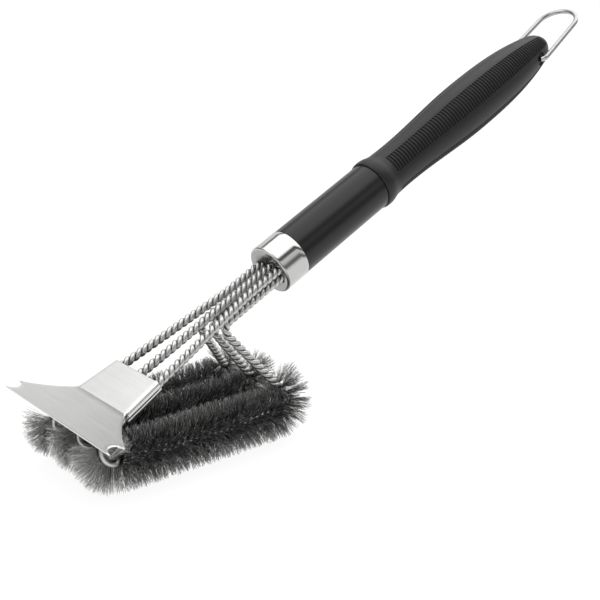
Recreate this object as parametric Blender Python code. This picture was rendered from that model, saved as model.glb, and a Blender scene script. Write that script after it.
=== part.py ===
"""Grill cleaning brush with a scraper blade, modelled as its separate pieces.

Three wire ropes start in the handle, fold at the nose, carry a row of bristles each, and return
to the handle. Metres, +Z up, +X towards the handle's end. The origin is the middle of the
scrubbing face of the bristle pad, on the surface that the bristles stand on.
"""
import math

import bmesh
import bpy
from mathutils import Matrix, Vector

MM = 0.001
GAP = 0.3 * MM                          # clearance between pieces that touch on the real brush

# Handle axis: the centre of the ferrule's front face, and the tilt of the handle.
HANDLE_TILT = math.radians(27.0)
HANDLE_ROOT = Vector((67.1, 0.0, 91.4)) * MM

# Ropes: each is two twisted wires, drawn here as one round rod of the rope's outer diameter.
ROPE_D = 4.8 * MM
ROPE_IN_HANDLE = 42 * MM                # length of each rope end inside the handle
ROPE_SPREAD = 7.6 * MM                  # side spacing of the ropes where they leave the handle
UPPER_ROD_W = 1.8 * MM                  # height of the upper rods above the handle axis
LOWER_ROD_W = -3.3 * MM
SPLAY_START = 28 * MM                   # where the outer upper rods begin to spread
CORE_Z = 15.9 * MM                      # height of the bristle cores above the scrubbing face
NOSE_SPREAD = 24.5 * MM                 # side spacing of the nose corners
REAR_SPREAD = 26.3 * MM                 # side spacing of the rear corners
NOSE_RADIUS = 7.5 * MM
REAR_RADIUS = 7.0 * MM
KNEE_RADIUS = 5.0 * MM
SPLAY_RADIUS = 40 * MM
ARC_STEP = math.radians(15)

# Left, middle and right rope: side, place of the rear corner, and reach of the lower rod.
ROPES = {
    "left": (1, 63.0 * MM, 53.7 * MM),
    "middle": (0, 65.0 * MM, 51.8 * MM),
    "right": (-1, 67.0 * MM, 49.9 * MM),
}

# Bristle rows.
BRISTLE_R = 16.2 * MM
ROW_FRONT_X = -66 * MM
ROW_REAR_X = 62 * MM
ROW_FULL_FRONT_X = -47 * MM             # the row has its full height between these two
ROW_FULL_REAR_X = 46 * MM
ROW_LIP_Z = 13.0 * MM                   # height of the row's ends, below the rope's bends
ROW_SIDES = 40

# Scraper: neck on the upper rods, then the blade, which is bent up from the neck's slope.
SHEET = 0.8 * MM
NECK_REAR = 101 * MM
NECK_FRONT = 126 * MM
NECK_HALF_REAR = 19.5 * MM
NECK_HALF_FRONT = 22.5 * MM
BLADE_LIFT = math.radians(21.5)
BLADE_LENGTH = 26.8 * MM
BLADE_HALF = 50 * MM
BLADE_TIP_D = 18.2 * MM                 # where the blade reaches its full width
NOTCH_DEPTH = 5.6 * MM
FLARE_PULL = 1.6 * MM                   # how far the blade's sides curve in
FLANGE_SEAM_W = 1.8 * MM                # height where the folded sides of the two shells meet

# Handle.
FERRULE_START = -2.5 * MM               # the ferrule's face, as a distance along the handle axis
FERRULE_R = 15.3 * MM
FERRULE_LENGTH = 17.2 * MM
FERRULE_EDGE = 2.0 * MM
FERRULE_WALL = 1.0 * MM
HOLE_HALF_WIDTH = 10.7 * MM
HOLE_HALF_HEIGHT = 5.7 * MM
HOLE_CORNER = 3.0 * MM
TUBE_R = 15.0 * MM
TUBE_WALL = 0.8 * MM
SEAM_T = 86.8 * MM                      # seam between the tube and the grip
PLUG_R = 13.9 * MM
PLUG_END = 45 * MM

# Grip: collar, slim neck, belly and rounded tip, as distances along the handle axis.
SPIGOT_START = 60 * MM
COLLAR_R = 16.1 * MM
COLLAR_END = 95.8 * MM
NECK_T = 110 * MM
NECK_R = 14.25 * MM
BELLY_T = 187 * MM
BELLY_R = 17.6 * MM
TAPER_UNIT = 36 * MM                    # the belly has lost 1 mm of radius after this length
TAPER_POWER = 2.6
DOME_T = 262 * MM
TIP_T = 274.1 * MM
GRIP_BORE_R = 10.3 * MM
GRIP_BORE_END = 240 * MM
TURNED_STEPS = 48

# Hanging loop.
HINGE_T = 252.5 * MM
WIRE_D = 3.4 * MM
LOOP_RISE = math.radians(8.9)           # angle of the loop above the handle axis at rest
LOOP_HALF = 15.3 * MM
LOOP_ARC = 14.1 * MM
LOOP_LENGTH = 52.6 * MM
FOOT_IN = 8.2 * MM
FOOT_BEND = 2.8 * MM
PIVOT_HOLE_R = 2.0 * MM
POCKET_R = 4.5 * MM
POCKET_Y = 11.3 * MM

FINISHES = {                            # colour, roughness, metallic
    "black_moulding": ((0.018, 0.018, 0.019), 0.55, 0.0),
    "satin_black": ((0.022, 0.022, 0.023), 0.38, 0.0),
    "polished_steel": ((0.78, 0.78, 0.77), 0.14, 1.0),
    "brushed_steel": ((0.70, 0.70, 0.69), 0.32, 1.0),
    "wire_steel": ((0.62, 0.62, 0.61), 0.30, 1.0),
    "dark_bristle": ((0.06, 0.06, 0.06), 0.45, 0.8),
    "plug_plastic": ((0.10, 0.10, 0.10), 0.60, 0.0),
}


def clear_scene():
    for item in list(bpy.data.objects):
        bpy.data.objects.remove(item, do_unlink=True)


def finish(name):
    """Return the named Principled material."""
    material = bpy.data.materials.get(name)
    if material is None:
        colour, roughness, metallic = FINISHES[name]
        material = bpy.data.materials.new(name)
        material.use_nodes = True
        shader = material.node_tree.nodes["Principled BSDF"]
        shader.inputs["Base Color"].default_value = (*colour, 1.0)
        shader.inputs["Roughness"].default_value = roughness
        shader.inputs["Metallic"].default_value = metallic
    return material


def place(name, data, finish_name, parent=None):
    """Link mesh or curve data as an object, with its finish, in its parent's frame."""
    item = bpy.data.objects.new(name, data)
    bpy.context.collection.objects.link(item)
    item.parent = parent
    if finish_name:
        data.materials.append(finish(finish_name))
    return item


def frame_empty(name, location, tilt):
    """An empty whose X axis is tilted up by the given angle."""
    item = bpy.data.objects.new(name, None)
    bpy.context.collection.objects.link(item)
    item.location = location
    item.rotation_euler = (0.0, -tilt, 0.0)
    return item


def mesh_from(name, bm, smooth=True):
    """Turn a bmesh into a mesh, with smooth faces and sharp edges over 35 degrees."""
    bmesh.ops.remove_doubles(bm, verts=bm.verts, dist=0.001 * MM)
    bmesh.ops.recalc_face_normals(bm, faces=bm.faces)
    mesh = bpy.data.meshes.new(name)
    bm.to_mesh(mesh)
    bm.free()
    if smooth:
        mesh.shade_smooth()
        mesh.set_sharp_from_angle(angle=math.radians(35))
    return mesh


def turned(name, profile, finish_name, parent):
    """Spin a closed (t, radius) profile about the parent's X axis."""
    bm = bmesh.new()
    ring = [bm.verts.new((t, radius, 0.0)) for t, radius in profile]
    edges = [bm.edges.new((a, b)) for a, b in zip(ring, ring[1:] + ring[:1])]
    bmesh.ops.spin(bm, geom=ring + edges, cent=(0, 0, 0), axis=(1, 0, 0),
                   angle=math.tau, steps=TURNED_STEPS, use_merge=True)
    flat = [edge for edge in bm.edges if edge.calc_length() < 0.001 * MM]
    bmesh.ops.collapse(bm, edges=flat)
    return place(name, mesh_from(name, bm), finish_name, parent)


def wire(name, points, diameter, finish_name, parent=None):
    """A round rod along a list of points, with filled ends."""
    curve = bpy.data.curves.new(name, "CURVE")
    curve.dimensions = "3D"
    curve.bevel_depth = diameter / 2
    curve.bevel_resolution = 3
    curve.use_fill_caps = True
    spline = curve.splines.new("POLY")
    spline.points.add(len(points) - 1)
    for knot, point in zip(spline.points, points):
        knot.co = (*point, 1.0)
    return place(name, curve, finish_name, parent)


def cut(item, cutter):
    """Subtract a cutter, which is left out of the model."""
    cutter.hide_render = True
    cutter.display_type = "WIRE"
    modifier = item.modifiers.new(cutter.name, "BOOLEAN")
    modifier.operation = "DIFFERENCE"
    modifier.solver = "EXACT"
    modifier.object = cutter


def cylinder_cutter(name, start, end, radius, parent, sides=24):
    """A cutting cylinder between two points of the parent's frame."""
    start = Vector(start)
    run = Vector(end) - start
    bm = bmesh.new()
    bmesh.ops.create_cone(bm, cap_ends=True, segments=sides, radius1=radius, radius2=radius,
                          depth=run.length)
    turn = run.to_track_quat("Z", "Y").to_matrix().to_4x4()
    bmesh.ops.transform(bm, matrix=Matrix.Translation(start + run / 2) @ turn, verts=bm.verts)
    return place(name, mesh_from(name, bm, smooth=False), None, parent)


def box_cutter(name, low, high):
    """A cutting box between two corners."""
    low = Vector(low)
    size = Vector(high) - low
    bm = bmesh.new()
    bmesh.ops.create_cube(bm, size=1.0)
    stretch = Matrix.Diagonal((*size, 1.0))
    bmesh.ops.transform(bm, matrix=Matrix.Translation(low + size / 2) @ stretch, verts=bm.verts)
    return place(name, mesh_from(name, bm, smooth=False), None)


# --- Ropes -------------------------------------------------------------------------------------

def handle_point(t, y, w):
    """World point at t along the handle axis, y to the side and w above the axis."""
    along = Vector((math.cos(HANDLE_TILT), 0.0, math.sin(HANDLE_TILT)))
    above = Vector((-math.sin(HANDLE_TILT), 0.0, math.cos(HANDLE_TILT)))
    return HANDLE_ROOT + along * t + above * w + Vector((0.0, y, 0.0))


def fillet(before, corner, after, radius):
    """Points of the arc of this radius that rounds the corner."""
    back = (before - corner).normalized()
    ahead = (after - corner).normalized()
    half = back.angle(ahead) / 2
    centre = corner + (back + ahead).normalized() * radius / math.sin(half)
    start = corner + back * radius / math.tan(half) - centre
    finish_arm = corner + ahead * radius / math.tan(half) - centre
    turn = start.angle(finish_arm)
    axis = start.cross(finish_arm).normalized()
    steps = max(2, math.ceil(turn / ARC_STEP))
    return [centre + Matrix.Rotation(turn * k / steps, 3, axis) @ start for k in range(steps + 1)]


def shortened(start, end):
    """A straight stretch that stops GAP short of both its ends."""
    step = (end - start).normalized() * GAP
    return [start + step, end - step]


def rope_corners(side, rear_x, reach):
    """Corners of one rope's route, from the upper end in the handle to the lower end."""
    y = side * ROPE_SPREAD
    nose_t = (CORE_Z - HANDLE_ROOT.z - UPPER_ROD_W * math.cos(HANDLE_TILT)) / math.sin(HANDLE_TILT)
    nose = handle_point(nose_t, side * NOSE_SPREAD, UPPER_ROD_W)
    return [
        handle_point(ROPE_IN_HANDLE, y, UPPER_ROD_W),
        handle_point(-SPLAY_START, y, UPPER_ROD_W),
        nose,
        Vector((rear_x, side * REAR_SPREAD, CORE_Z)),
        handle_point(-reach, y, LOWER_ROD_W),
        handle_point(ROPE_IN_HANDLE, y, LOWER_ROD_W),
    ]


def rope(label):
    """The five stretches of one rope: upper rod, nose, bristle core, rear leg and lower rod."""
    side, rear_x, reach = ROPES[label]
    top, splay, nose, rear, knee, low = rope_corners(side, rear_x, reach)
    nose_arc = fillet(splay, nose, rear, NOSE_RADIUS)
    rear_arc = fillet(nose, rear, knee, REAR_RADIUS)
    knee_arc = fillet(rear, knee, low, KNEE_RADIUS)
    splay_arc = fillet(top, splay, nose, SPLAY_RADIUS) if side else []
    upper = [top, *splay_arc, nose_arc[0] + (splay - nose).normalized() * GAP]
    wire("upper_rod_" + label, upper, ROPE_D, "wire_steel")
    wire("nose_bend_" + label, nose_arc, ROPE_D, "wire_steel")
    wire("bristle_core_" + label, shortened(nose_arc[-1], rear_arc[0]), ROPE_D, "wire_steel")
    wire("rear_leg_" + label, rear_arc + knee_arc, ROPE_D, "wire_steel")
    wire("lower_rod_" + label, [knee_arc[-1] + (low - knee).normalized() * GAP, low], ROPE_D,
         "wire_steel")


# --- Bristle rows ------------------------------------------------------------------------------

def core_y(label, x):
    """Side position of a row's core at this X."""
    side, rear_x, reach = ROPES[label]
    nose = rope_corners(side, rear_x, reach)[2]
    return side * (NOSE_SPREAD + (REAR_SPREAD - NOSE_SPREAD) * (x - nose.x) / (rear_x - nose.x))


def slice_off(bm, point, normal):
    """Remove what lies beyond a plane, and close the cut."""
    geometry = bm.verts[:] + bm.edges[:] + bm.faces[:]
    result = bmesh.ops.bisect_plane(bm, geom=geometry, plane_co=point, plane_no=normal,
                                    clear_outer=True)
    edges = [part for part in result["geom_cut"] if isinstance(part, bmesh.types.BMEdge)]
    bmesh.ops.edgeloop_fill(bm, edges=edges)


def bristle_row(label):
    """The space that one row's bristles fill, bored for its rope and lower at both ends."""
    front = Vector((ROW_FRONT_X, core_y(label, ROW_FRONT_X), CORE_Z))
    rear = Vector((ROW_REAR_X, core_y(label, ROW_REAR_X), CORE_Z))
    bm = bmesh.new()
    bmesh.ops.create_cone(bm, cap_ends=True, segments=ROW_SIDES, radius1=BRISTLE_R,
                          radius2=BRISTLE_R, depth=(rear - front).length)
    turn = (rear - front).to_track_quat("Z", "Y").to_matrix().to_4x4()
    bmesh.ops.transform(bm, matrix=Matrix.Translation((front + rear) / 2) @ turn, verts=bm.verts)
    slice_off(bm, (0, 0, 0), (0, 0, -1))
    for other in ROPES:
        side = ROPES[other][0] - ROPES[label][0]
        if abs(side) == 1:
            middle = [Vector((x, (core_y(label, x) + core_y(other, x) - side * GAP) / 2, 0.0))
                      for x in (ROW_FRONT_X, ROW_REAR_X)]
            along = middle[1] - middle[0]
            slice_off(bm, middle[0], (-side * along.y, side * along.x, 0.0))
    row = place("bristle_row_" + label, mesh_from("bristle_row_" + label, bm), "dark_bristle")
    wide = 60 * MM
    margin = 5 * MM
    cut(row, box_cutter("front_notch_" + label, (ROW_FRONT_X - margin, -wide, ROW_LIP_Z),
                        (ROW_FULL_FRONT_X, wide, wide)))
    cut(row, box_cutter("rear_notch_" + label, (ROW_FULL_REAR_X, -wide, ROW_LIP_Z),
                        (ROW_REAR_X + margin, wide, wide)))
    bore_start = ROW_FULL_FRONT_X - margin
    bore_end = ROW_FULL_REAR_X + margin
    cut(row, cylinder_cutter("core_bore_" + label, (bore_start, core_y(label, bore_start), CORE_Z),
                             (bore_end, core_y(label, bore_end), CORE_Z), ROPE_D / 2 + GAP, None))


# --- Scraper -----------------------------------------------------------------------------------

def sheet_object(name, faces, parent):
    """Fold a sheet from flat faces that share edges, and give it its thickness."""
    bm = bmesh.new()
    for corners in faces:
        bm.faces.new([bm.verts.new(corner) for corner in corners])
    item = place(name, mesh_from(name, bm, smooth=False), "brushed_steel", parent)
    solid = item.modifiers.new("sheet thickness", "SOLIDIFY")
    solid.thickness = SHEET
    solid.offset = 0.0
    solid.use_even_offset = True
    return item


def neck_corners(side, w):
    """Rear and front corner of the neck on one side, at this height."""
    return (Vector((-NECK_REAR, side * NECK_HALF_REAR, w)),
            Vector((-NECK_FRONT, side * NECK_HALF_FRONT, w)))


def blade_side():
    """Half outline of the blade: (distance from the bend, side), from the bend to the edge."""
    start = Vector((0.0, NECK_HALF_FRONT))
    tip = Vector((BLADE_TIP_D, BLADE_HALF))
    inward = Vector((tip.y - start.y, start.x - tip.x)).normalized()
    control = (start + tip) / 2 - Vector((-inward.x, -inward.y)) * 2 * FLARE_PULL
    points = []
    for k in range(9):
        f = k / 8
        points.append(start * (1 - f) ** 2 + control * 2 * f * (1 - f) + tip * f ** 2)
    half_mouth = (BLADE_LENGTH - BLADE_TIP_D) / 2 - 0.5 * MM
    middle = (BLADE_LENGTH + BLADE_TIP_D) / 2
    for k in range(9):
        angle = math.pi * k / 8
        points.append(Vector((middle - half_mouth * math.cos(angle),
                              BLADE_HALF - NOTCH_DEPTH * math.sin(angle))))
    points.append(Vector((BLADE_LENGTH, BLADE_HALF)))
    return points


def scraper(handle):
    """The neck with its folded sides, and the blade with a notch at each end."""
    top_w = UPPER_ROD_W + ROPE_D / 2 + GAP + SHEET / 2
    (rear_l, front_l), (rear_r, front_r) = neck_corners(1, top_w), neck_corners(-1, top_w)
    drop = Vector((0.0, 0.0, FLANGE_SEAM_W + GAP - top_w))
    ahead = Vector((-math.cos(BLADE_LIFT), 0.0, math.sin(BLADE_LIFT)))
    centre = Vector((-NECK_FRONT, 0.0, top_w))
    left = [centre + ahead * d + Vector((0.0, y, 0.0)) for d, y in blade_side()]
    right = [Vector((p.x, -p.y, p.z)) for p in reversed(left)]
    faces = [
        [rear_l, front_l, front_r, rear_r],
        left + right,
        [rear_l, rear_l + drop, front_l + drop, front_l],
        [rear_r, front_r, front_r + drop, rear_r + drop],
    ]
    sheet_object("scraper", faces, handle)


def scraper_clamp(handle):
    """The lower shell that closes the neck round the three upper rods."""
    low_w = UPPER_ROD_W - ROPE_D / 2 - GAP - SHEET / 2
    (rear_l, front_l), (rear_r, front_r) = neck_corners(1, low_w), neck_corners(-1, low_w)
    rise = Vector((0.0, 0.0, FLANGE_SEAM_W - GAP - low_w))
    faces = [
        [rear_l, rear_r, front_r, front_l],
        [rear_l, front_l, front_l + rise, rear_l + rise],
        [rear_r, rear_r + rise, front_r + rise, front_r],
    ]
    sheet_object("scraper_clamp", faces, handle)


# --- Handle ------------------------------------------------------------------------------------

def ferrule(handle):
    """The steel end cap, with a rounded edge and one opening round all six rods."""
    corner = [(FERRULE_EDGE * (1 - math.sin(a)), FERRULE_R - FERRULE_EDGE * (1 - math.cos(a)))
              for a in [math.pi / 2 * (1 - k / 4) for k in range(5)]]
    rear = FERRULE_LENGTH
    inner = FERRULE_R - FERRULE_WALL
    profile = [(0.0, 0.0), *[(t, r) for t, r in corner], (rear, FERRULE_R), (rear, inner),
               (FERRULE_WALL, inner), (FERRULE_WALL, 0.0)]
    cap = turned("ferrule", [(FERRULE_START + t, r) for t, r in profile], "polished_steel", handle)
    bm = bmesh.new()
    outline = []
    for quarter in range(4):
        sign_y = 1 if quarter in (0, 3) else -1
        sign_w = 1 if quarter in (0, 1) else -1
        for k in range(5):
            angle = math.pi / 2 * (quarter + k / 4)
            outline.append(bm.verts.new((
                FERRULE_START - FERRULE_WALL,
                sign_y * (HOLE_HALF_WIDTH - HOLE_CORNER) + HOLE_CORNER * math.cos(angle),
                (UPPER_ROD_W + LOWER_ROD_W) / 2
                + sign_w * (HOLE_HALF_HEIGHT - HOLE_CORNER) + HOLE_CORNER * math.sin(angle))))
    face = bm.faces.new(outline)
    moved = bmesh.ops.extrude_face_region(bm, geom=[face])["geom"]
    bmesh.ops.translate(bm, vec=(3 * FERRULE_WALL, 0, 0),
                        verts=[v for v in moved if isinstance(v, bmesh.types.BMVert)])
    cut(cap, place("rod_opening", mesh_from("rod_opening", bm, smooth=False), None, handle))


def handle_tube(handle):
    """The black tube between the ferrule and the grip."""
    start = FERRULE_START + FERRULE_LENGTH + GAP
    end = SEAM_T - GAP
    inner = TUBE_R - TUBE_WALL
    turned("handle_tube", [(start, inner), (start, TUBE_R), (end, TUBE_R), (end, inner)],
           "satin_black", handle)


def anchor_plug(handle):
    """The plug inside the ferrule and the tube that holds the six rope ends."""
    start = FERRULE_START + FERRULE_WALL + GAP
    plug = turned("anchor_plug", [(start, 0.0), (start, PLUG_R), (PLUG_END, PLUG_R),
                                  (PLUG_END, 0.0)], "plug_plastic", handle)
    for side in (1, 0, -1):
        for w in (UPPER_ROD_W, LOWER_ROD_W):
            y = side * ROPE_SPREAD
            cut(plug, cylinder_cutter("rod_hole", (FERRULE_START, y, w), (ROPE_IN_HANDLE + GAP, y, w),
                                      ROPE_D / 2 + GAP, handle, sides=12))


def grip_radius(t):
    """Outer radius of the grip behind its collar."""
    if t < NECK_T:
        return NECK_R + 0.25 * MM * ((NECK_T - t) / (10 * MM)) ** 2
    if t < BELLY_T:
        swing = (1 - math.cos(math.pi * (t - NECK_T) / (BELLY_T - NECK_T))) / 2
        return NECK_R + (BELLY_R - NECK_R) * swing
    radius = BELLY_R - 1.0 * MM * ((t - BELLY_T) / TAPER_UNIT) ** TAPER_POWER
    if t > DOME_T:
        radius *= math.sqrt(max(0.0, 1 - ((t - DOME_T) / (TIP_T - DOME_T)) ** 2))
    return radius


def grip(handle):
    """The moulded grip: a spigot in the tube, the collar, and the hollow body."""
    body = [COLLAR_END + 3 * MM + 6 * MM * k for k in range(27)]
    dome = [DOME_T + (TIP_T - DOME_T) * math.sin(math.pi / 2 * k / 6) for k in range(6)]
    profile = [
        (SPIGOT_START, GRIP_BORE_R),
        (SPIGOT_START, PLUG_R),
        (SEAM_T, PLUG_R),
        (SEAM_T, TUBE_R + 0.4 * MM),
        (SEAM_T + 1.2 * MM, COLLAR_R),
        (COLLAR_END - 3 * MM, COLLAR_R),
        (COLLAR_END, COLLAR_R - 0.8 * MM),
        *[(t, grip_radius(t)) for t in body],
        *[(t, grip_radius(t)) for t in dome],
        (TIP_T, 0.0),
        (GRIP_BORE_END + 6 * MM, 0.0),
        (GRIP_BORE_END, GRIP_BORE_R - 4 * MM),
        (GRIP_BORE_END - 5 * MM, GRIP_BORE_R),
    ]
    moulding = turned("grip", profile, "black_moulding", handle)
    for side, label in ((1, "left"), (-1, "right")):
        outer = side * 2 * LOOP_HALF
        cut(moulding, cylinder_cutter("pivot_hole_" + label, (HINGE_T, outer, 0.0),
                                      (HINGE_T, side * (FOOT_IN - GAP), 0.0), PIVOT_HOLE_R, handle))
        cut(moulding, cylinder_cutter("pivot_pocket_" + label, (HINGE_T, outer, 0.0),
                                      (HINGE_T, side * POCKET_Y, 0.0), POCKET_R, handle))


def hang_loop():
    """The wire loop, in a frame that stands on its hinge axis."""
    hinge = frame_empty("loop_hinge", handle_point(HINGE_T, 0.0, 0.0), HANDLE_TILT + LOOP_RISE)
    arc_x = LOOP_LENGTH - LOOP_ARC
    inner_end = Vector((0.0, FOOT_IN, 0.0))
    corner = Vector((0.0, LOOP_HALF, 0.0))
    leg_end = Vector((arc_x, LOOP_ARC, 0.0))
    half = [inner_end, *fillet(inner_end, corner, leg_end, FOOT_BEND)]
    steps = 16
    bow = [Vector((arc_x + LOOP_ARC * math.sin(math.pi * k / steps),
                   LOOP_ARC * math.cos(math.pi * k / steps), 0.0)) for k in range(steps + 1)]
    other = [Vector((p.x, -p.y, 0.0)) for p in reversed(half)]
    wire("hang_loop", half + bow + other, WIRE_D, "polished_steel", hinge)


def build():
    clear_scene()
    handle = frame_empty("handle_frame", HANDLE_ROOT, HANDLE_TILT)
    for label in ROPES:
        rope(label)
        bristle_row(label)
    scraper(handle)
    scraper_clamp(handle)
    ferrule(handle)
    handle_tube(handle)
    anchor_plug(handle)
    grip(handle)
    hang_loop()


build()
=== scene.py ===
# %% [markdown]
# # A grill cleaning brush, dressed for the studio
# The brush is already built as a CAD model, where every rod, shell and moulding has its place and
# size. This lesson loads that model as a frame and gives each piece its finished look. The twisted
# wires, the bristles and the ribs of the grip follow rules, so Geometry Nodes make them. The folded
# sheet, the pressed end cap and the grip are grids of points, drawn by short loops of mesh code.

# %% Load the frame
import math

import bmesh
import bpy
from mathutils import Matrix, Vector


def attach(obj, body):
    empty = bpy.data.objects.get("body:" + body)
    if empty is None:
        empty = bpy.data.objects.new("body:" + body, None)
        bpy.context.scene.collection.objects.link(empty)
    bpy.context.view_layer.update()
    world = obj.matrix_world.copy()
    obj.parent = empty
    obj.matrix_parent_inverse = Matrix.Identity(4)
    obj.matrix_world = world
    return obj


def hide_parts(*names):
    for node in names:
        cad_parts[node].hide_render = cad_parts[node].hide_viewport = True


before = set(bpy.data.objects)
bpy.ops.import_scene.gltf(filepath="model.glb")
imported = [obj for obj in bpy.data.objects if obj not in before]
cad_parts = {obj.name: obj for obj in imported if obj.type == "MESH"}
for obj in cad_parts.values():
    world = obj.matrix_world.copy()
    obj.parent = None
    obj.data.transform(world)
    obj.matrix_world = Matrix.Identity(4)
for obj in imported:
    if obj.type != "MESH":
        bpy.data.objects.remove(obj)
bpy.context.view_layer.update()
MM = 0.001

# %% [markdown]
# ## Places that the pieces share
# The handle is a straight line that rises from the head at 27 degrees. Distances t run along it
# from a root just behind the face of the steel end cap, y runs to the side and w above it. One
# matrix turns those three numbers into a place in the room, so that every piece of the handle can
# be drawn lying flat.

# %% Handle frame
HANDLE_TILT = math.radians(27.0)
HANDLE_ROOT = Vector((67.1, 0.0, 91.4)) * MM
HANDLE = Matrix.Translation(HANDLE_ROOT) @ Matrix.Rotation(-HANDLE_TILT, 4, "Y")
TIP_T = 274.1 * MM                      # end of the grip
CAP_START = -2.5 * MM
CAP_R = 15.3 * MM
GAP = 0.3 * MM                          # kept between pieces that touch


def on_handle(t, y, w):
    """The place at t along the handle, y to the side and w above its axis."""
    return HANDLE @ Vector((t, y, w))


print("end of the grip:", [round(x, 4) for x in on_handle(TIP_T, 0, 0)])

# %% [markdown]
# ## Camera
# The camera looks down at the brush from the front and its right side, close enough for the head to
# look larger than the far end of the handle. Its three directions are worked out from a heading, a
# downward pitch and a small roll, and they become the columns of the camera's matrix.

# %% Place the camera
HEADING = math.radians(44.03)
PITCH = math.radians(18.09)
ROLL = math.radians(3.26)
EYE_PLACE = Vector((-302.0, -406.15, 252.3)) * MM
forward = Vector((math.cos(PITCH) * math.sin(HEADING), math.cos(PITCH) * math.cos(HEADING),
                  -math.sin(PITCH)))
level = forward.cross(Vector((0, 0, 1))).normalized()
upright = level.cross(forward)
right = level * math.cos(ROLL) + upright * math.sin(ROLL)
above = upright * math.cos(ROLL) - level * math.sin(ROLL)

eye = bpy.data.cameras.new("studio_camera")
eye.lens = 59.94
eye.sensor_width = 36.0
eye.clip_start = 0.01
eye.clip_end = 50.0
camera = bpy.data.objects.new("studio_camera", eye)
bpy.context.collection.objects.link(camera)
turn = Matrix((right, above, -forward)).transposed().to_4x4()
camera.matrix_world = Matrix.Translation(EYE_PLACE) @ turn
bpy.context.scene.camera = camera
bpy.context.scene.view_settings.view_transform = "Standard"
print("camera looks along", [round(x, 3) for x in forward])

# %% [markdown]
# ## Node expressions
# Shader and geometry networks are easier to read as sums than as lists of links. A small class
# wraps a node's output, and its operators add Math nodes. One function makes every other node: it
# takes the node's type, its settings, which are set first, and what goes into its sockets.

# %% A socket that can be added and multiplied
class Wire:
    """An output socket that takes part in arithmetic."""

    def __init__(self, tree, socket):
        self.tree = tree
        self.socket = socket

    def math(self, operation, *others):
        """A Math node whose first value is this one."""
        return math_node(self.tree, operation, self, *others)

    def axis(self, index):
        """One of the three numbers of a vector."""
        return node(self.tree, "ShaderNodeSeparateXYZ", None, {0: self}, index)

    def __add__(self, other):
        return self.math("ADD", other)

    def __sub__(self, other):
        return self.math("SUBTRACT", other)

    def __rsub__(self, other):
        return math_node(self.tree, "SUBTRACT", other, self)

    def __mul__(self, other):
        return self.math("MULTIPLY", other)

    def __truediv__(self, other):
        return self.math("DIVIDE", other)

    __radd__ = __add__
    __rmul__ = __mul__


def node(tree, kind, settings=None, inputs=None, output=0):
    """Add a node: its type, settings, and its sockets' values or links. Returns one output."""
    made = tree.nodes.new(kind)
    for name, value in (settings or {}).items():
        setattr(made, name, value)
    for name, value in (inputs or {}).items():
        socket = made.inputs[name]
        if isinstance(value, Wire):
            tree.links.new(value.socket, socket)
        elif value is not None:
            socket.default_value = value
    return Wire(tree, made.outputs[output])


def math_node(tree, operation, *values):
    """A Math node."""
    return node(tree, "ShaderNodeMath", {"operation": operation}, dict(enumerate(values)))


def vector_math(tree, operation, *values):
    """A Vector Math node. Its second output holds the number of a dot product or a length."""
    inputs = {("Scale" if operation == "SCALE" and k == 1 else k): v
              for k, v in enumerate(values)}
    number = 1 if operation in ("DOT_PRODUCT", "LENGTH") else 0
    return node(tree, "ShaderNodeVectorMath", {"operation": operation}, inputs, number)


def eased(tree, value, start, end, low=0.0, high=1.0):
    """Low at start, high at end, with soft ends in between."""
    return node(tree, "ShaderNodeMapRange", {"interpolation_type": "SMOOTHSTEP"},
                {"Value": value, "From Min": start, "From Max": end, "To Min": low,
                 "To Max": high})


def grey_ramp(tree, value, stops):
    """A number that follows straight lines between (place, grey) stops."""
    made = node(tree, "ShaderNodeValToRGB", None, {"Fac": value})
    elements = made.socket.node.color_ramp.elements
    while len(elements) < len(stops):
        elements.new(0.5)
    for stop, (place, grey) in zip(elements, stops):
        stop.position = place
        stop.color = (grey, grey, grey, 1.0)
    return made


print("ready to write nodes as expressions")

# %% [markdown]
# ## Finishes
# Each material is a Principled shader. Numbers that are the same all over a piece go straight onto
# its sockets. Patterns go into colour, roughness and the bump only. They read Object coordinates:
# since every piece keeps its place in its mesh, these are metres in the room, and a mapping turned
# by the handle's tilt gives coordinates along, across and above the handle.

# %% Material helpers
def material(name, **constants):
    """A new Principled material, its node tree and its shader node."""
    made = bpy.data.materials.new(name)
    made.use_nodes = True
    shader = made.node_tree.nodes["Principled BSDF"]
    for label, value in constants.items():
        shader.inputs[label.replace("_", " ")].default_value = value
    return made, made.node_tree, shader


def object_coords(tree, scale=(1, 1, 1), along_handle=False):
    """Object coordinates in metres, stretched, and turned to the handle where asked."""
    where = node(tree, "ShaderNodeTexCoord", output="Object")
    if along_handle:
        where = node(tree, "ShaderNodeMapping", {"vector_type": "TEXTURE"},
                     {"Vector": where, "Location": HANDLE_ROOT, "Rotation": (0, -HANDLE_TILT, 0)})
    return node(tree, "ShaderNodeMapping", None, {"Vector": where, "Scale": scale})


def noise(tree, coords, scale, detail=3.0):
    """Cloudy grain between 0 and 1."""
    return node(tree, "ShaderNodeTexNoise", None,
                {"Vector": coords, "Scale": scale, "Detail": detail}, "Fac")


def varied(pattern, amount):
    """A pattern between 0 and 1, spread evenly round zero."""
    return (pattern - 0.5) * amount


def carried(tree, name):
    """A number that the mesh carries as an attribute."""
    return node(tree, "ShaderNodeAttribute", {"attribute_name": name}, None, "Fac")


def feed(tree, shader, label, wire):
    """Link a pattern to one of the shader's sockets."""
    tree.links.new(wire.socket, shader.inputs[label])


def feed_grey(tree, shader, grey):
    """Link a number to Base Color as a neutral grey."""
    colour = node(tree, "ShaderNodeCombineColor", None, {0: grey, 1: grey, 2: grey * 0.985})
    feed(tree, shader, "Base Color", colour)


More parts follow.
